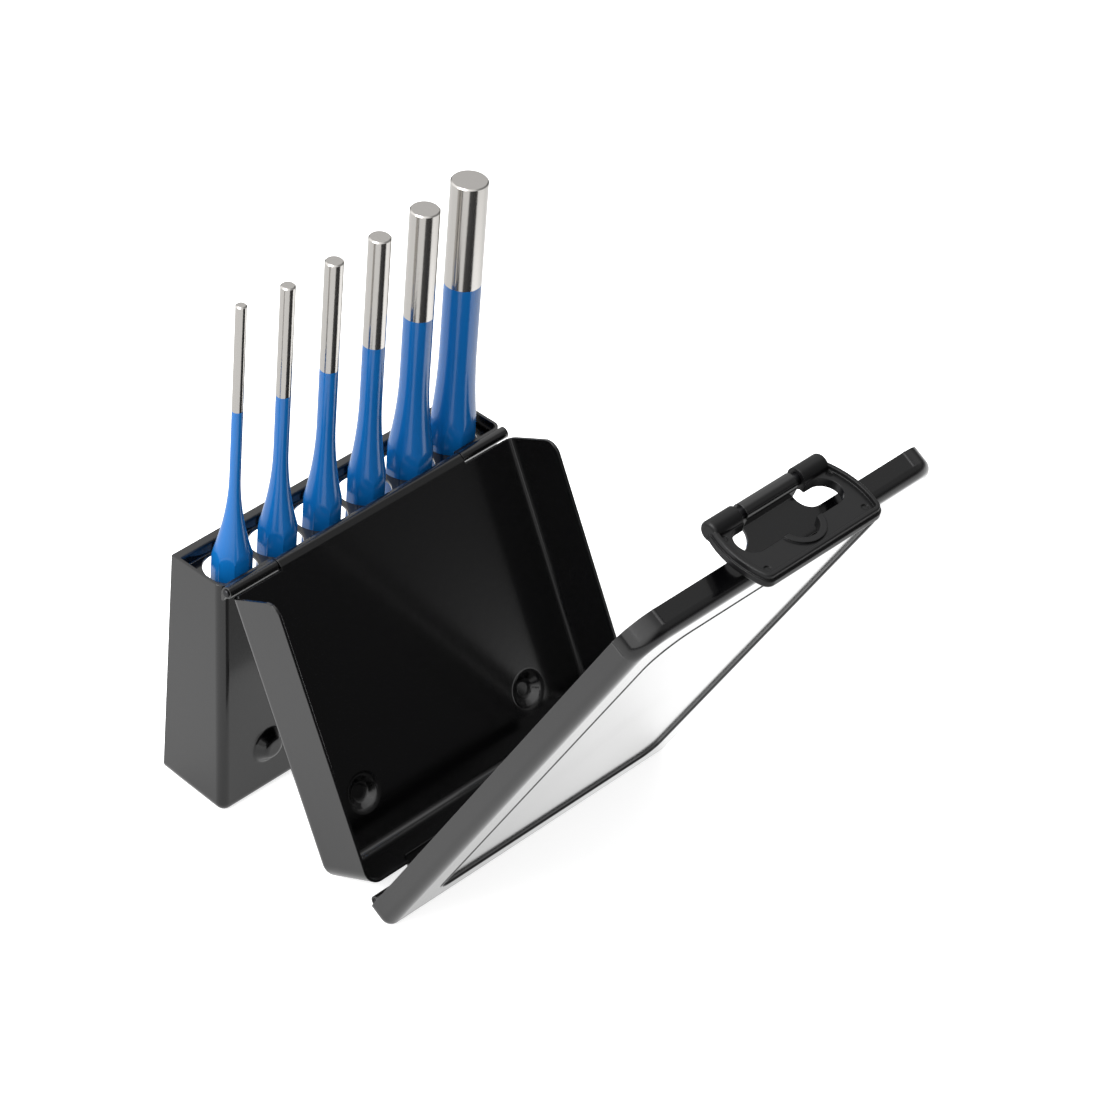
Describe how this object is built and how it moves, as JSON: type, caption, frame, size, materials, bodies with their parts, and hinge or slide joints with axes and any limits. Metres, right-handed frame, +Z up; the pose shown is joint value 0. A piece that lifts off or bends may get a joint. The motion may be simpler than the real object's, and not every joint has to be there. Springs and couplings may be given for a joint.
{
  "type": "pin punch set in a folding case",
  "caption": "Pin punches standing in a folding sheet steel case, opened in a zigzag with its lid leaning away and a moulded latch on the lid's free end.",
  "frame": {"origin": "on the floor, at the middle of the open case's footprint", "axes": "+X along the hinges towards the thickest punch, +Y from the lid to the punch holder, +Z up"},
  "size_m": [0.1056, 0.1838, 0.1545],
  "materials": {
    "case_paint": "gloss black paint on sheet steel",
    "latch_plastic": "satin moulded plastic",
    "hinge_steel": "drawn wire",
    "punch_steel": "gloss blue paint with a bare ground steel end"
  },
  "bodies": {
    "tray": {"tray": "case_paint", "holder_hinge_pin": "hinge_steel", "lid_hinge_pin": "hinge_steel"},
    "holder": {"holder_shell": "case_paint", "punch_plate": "case_paint"},
    "lid": {"lid": "case_paint", "latch_pin": "hinge_steel"},
    "latch": {"latch": "latch_plastic"},
    "punch_3_mm": {"punch_3_mm": "punch_steel"},
    "punch_4_mm": {"punch_4_mm": "punch_steel"},
    "punch_5_mm": {"punch_5_mm": "punch_steel"},
    "punch_6_mm": {"punch_6_mm": "punch_steel"},
    "punch_8_mm": {"punch_8_mm": "punch_steel"},
    "punch_10_mm": {"punch_10_mm": "punch_steel"}
  },
  "joints": [
    {"name": "holder_hinge", "type": "hinge", "parent": "tray", "child": "holder", "pos_m": [0, 0.06358, 0.07532], "axis": [-1, 0, 0], "range_deg": [-153.5, 24]},
    {"name": "lid_hinge", "type": "hinge", "parent": "tray", "child": "lid", "pos_m": [0, 0.01217, 0.00309], "axis": [1, 0, 0], "range_deg": [-53, 120]},
    {"name": "latch_hinge", "type": "hinge", "parent": "lid", "child": "latch", "pos_m": [0, -0.07221, 0.14705], "axis": [-1, 0, 0], "range_deg": [-21, 172]},
    {"name": "punch_3_mm_slide", "type": "slide", "parent": "holder", "child": "punch_3_mm", "axis": [0.0419, -0.0532, 0.9977], "range_m": [0, 0.075]},
    {"name": "punch_4_mm_slide", "type": "slide", "parent": "holder", "child": "punch_4_mm", "axis": [0.0419, -0.0532, 0.9977], "range_m": [0, 0.075]},
    {"name": "punch_5_mm_slide", "type": "slide", "parent": "holder", "child": "punch_5_mm", "axis": [0.0419, -0.0532, 0.9977], "range_m": [0, 0.075]},
    {"name": "punch_6_mm_slide", "type": "slide", "parent": "holder", "child": "punch_6_mm", "axis": [0.0419, -0.0532, 0.9977], "range_m": [0, 0.075]},
    {"name": "punch_8_mm_slide", "type": "slide", "parent": "holder", "child": "punch_8_mm", "axis": [0.0419, -0.0532, 0.9977], "range_m": [0, 0.075]},
    {"name": "punch_10_mm_slide", "type": "slide", "parent": "holder", "child": "punch_10_mm", "axis": [0.0419, -0.0532, 0.9977], "range_m": [0, 0.075]}
  ]
}
